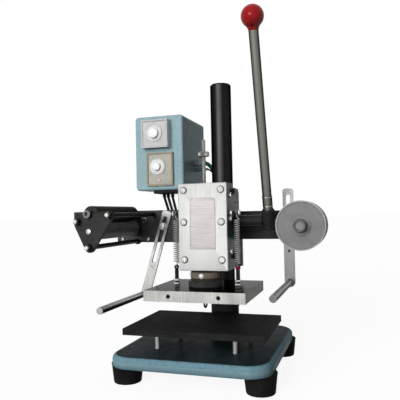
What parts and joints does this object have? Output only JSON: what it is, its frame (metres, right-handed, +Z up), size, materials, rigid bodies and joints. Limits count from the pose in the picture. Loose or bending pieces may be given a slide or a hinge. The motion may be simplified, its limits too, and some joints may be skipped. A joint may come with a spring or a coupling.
{
  "type": "hot foil stamping machine",
  "caption": "Bench hot foil stamping press: cast base, fixed table, column head with lever-driven heated plate, foil spool, take-up rollers and control box.",
  "frame": {"origin": "bottom centre of the bounding box, on the floor under the feet", "axes": "+Z up along the column, +X to the right as the operator sees it, -Y towards the operator"},
  "size_m": [0.35, 0.325, 0.5046],
  "materials": {
    "blue_enamel": "hammertone enamel, glossy",
    "dark_enamel": "dark teal enamel on a casting",
    "black_steel": "satin black oxide",
    "rubber": "moulded, matte",
    "steel": "turned or zinc plated steel",
    "plate_metal": "brushed",
    "bronze": "bearing bronze",
    "tan_board": "laminated insulating board",
    "red_knob": "polished",
    "frosted": "frosted",
    "grey_case": "moulded",
    "beige_case": "moulded",
    "white_dial": "polished",
    "ceramic": "glazed",
    "lead_black": "sleeved wire"
  },
  "bodies": {
    "base": {"base_casting": "blue_enamel", "rubber_feet": "rubber", "table_posts": "steel", "table_plate": "black_steel", "column": "black_steel"},
    "head": {"head_block": "dark_enamel", "front_plate": "plate_metal", "front_screws": "steel", "name_plate": "plate_metal", "gib_strip": "bronze", "gib_screws": "steel", "shaft_bushes": "bronze", "clamp_bolt": "steel", "spring_hangers": "steel", "return_springs": "steel", "left_beam": "black_steel", "right_beam": "black_steel", "beam_screws": "steel", "take_up_plate": "black_steel", "tie_rods": "black_steel", "acorn_nuts": "steel", "pressure_axle": "steel", "hook_spring": "steel", "supply_spindle": "steel", "spindle_nut": "frosted", "box_bracket": "black_steel", "control_box": "blue_enamel", "box_cover": "blue_enamel", "temperature_controller": "grey_case", "timer": "beige_case", "cable_grommets": "rubber", "terminal_blocks": "ceramic", "fixed_leads": "lead_black"},
    "ram": {"ram_slide": "steel", "stop_rod": "steel", "insulating_collar": "tan_board", "collar_screws": "steel", "ram_flange": "black_steel", "heated_plate": "plate_metal", "heater_cartridges": "steel", "eye_studs": "steel", "lead_loops": "lead_black"},
    "lever": {"lever_shaft": "steel", "pinion": "steel", "lever_hub": "black_steel", "lever_rod": "steel", "ball_knob": "red_knob"},
    "stop_nut": {"stop_nut": "steel"},
    "drive_roller": {"drive_roller": "black_steel"},
    "pressure_roller": {"pressure_roller": "rubber"},
    "spool": {"spool_core": "frosted", "spool_flanges": "frosted"},
    "left_clamp": {"left_clamp_bolt": "steel"},
    "left_arm": {"left_guide_arm": "steel", "left_guide_rod": "steel"},
    "right_clamp": {"right_clamp_bolt": "steel"},
    "right_arm": {"right_guide_arm": "steel", "right_guide_rod": "steel"},
    "temperature_dial": {"temperature_dial": "white_dial"},
    "timer_dial": {"timer_dial": "white_dial"}
  },
  "joints": [
    {"name": "head_height", "type": "slide", "parent": "base", "child": "head", "axis": [0, 0, 1], "range_m": [0, 0.1]},
    {"name": "lever_pull", "type": "hinge", "parent": "head", "child": "lever", "pos_m": [0, -0.024, 0.218], "axis": [1, 0, 0], "range_deg": [0, 95.4]},
    {"name": "ram_stroke", "type": "slide", "parent": "head", "child": "ram", "axis": [0, 0, -1], "range_m": [0, 0.03], "stiffness_N_per_m": 1600, "springref_m": -0.0375, "deforming": ["return_springs", "lead_loops"]},
    {"name": "stop_set", "type": "slide", "parent": "ram", "child": "stop_nut", "axis": [0, 0, 1], "range_m": [-0.008, 0.016]},
    {"name": "drive_turn", "type": "hinge", "parent": "head", "child": "drive_roller", "pos_m": [-0.14, -0.06, 0.2075], "axis": [0, 1, 0], "continuous": true},
    {"name": "pressure_turn", "type": "hinge", "parent": "head", "child": "pressure_roller", "pos_m": [-0.14, -0.06, 0.2318], "axis": [0, 1, 0], "continuous": true},
    {"name": "spool_turn", "type": "hinge", "parent": "head", "child": "spool", "pos_m": [0.14, -0.033, 0.21], "axis": [0, 1, 0], "continuous": true},
    {"name": "left_swing", "type": "hinge", "parent": "head", "child": "left_clamp", "pos_m": [-0.09, 0.012, 0.21], "axis": [0, 1, 0], "range_deg": [-15, 15]},
    {"name": "left_reach", "type": "slide", "parent": "left_clamp", "child": "left_arm", "axis": [0.2924, 0, 0.9563], "range_m": [-0.013, 0.055]},
    {"name": "right_swing", "type": "hinge", "parent": "head", "child": "right_clamp", "pos_m": [0.115, 0.012, 0.21], "axis": [0, 1, 0], "range_deg": [-20, 8]},
    {"name": "right_reach", "type": "slide", "parent": "right_clamp", "child": "right_arm", "axis": [0, 0, 1], "range_m": [-0.042, 0.03]},
    {"name": "temperature_set", "type": "hinge", "parent": "head", "child": "temperature_dial", "pos_m": [-0.11, 0.026, 0.367], "axis": [0, 1, 0], "range_deg": [-60, 210]},
    {"name": "timer_set", "type": "hinge", "parent": "head", "child": "timer_dial", "pos_m": [-0.1085, 0.034, 0.311], "axis": [0, 1, 0], "range_deg": [-60, 210]}
  ],
  "couplings": [
    {"joint": "ram_stroke", "follows": "lever_pull", "m_per_rad": 0.018},
    {"joint": "pressure_turn", "follows": "drive_turn", "ratio": -1.087}
  ]
}
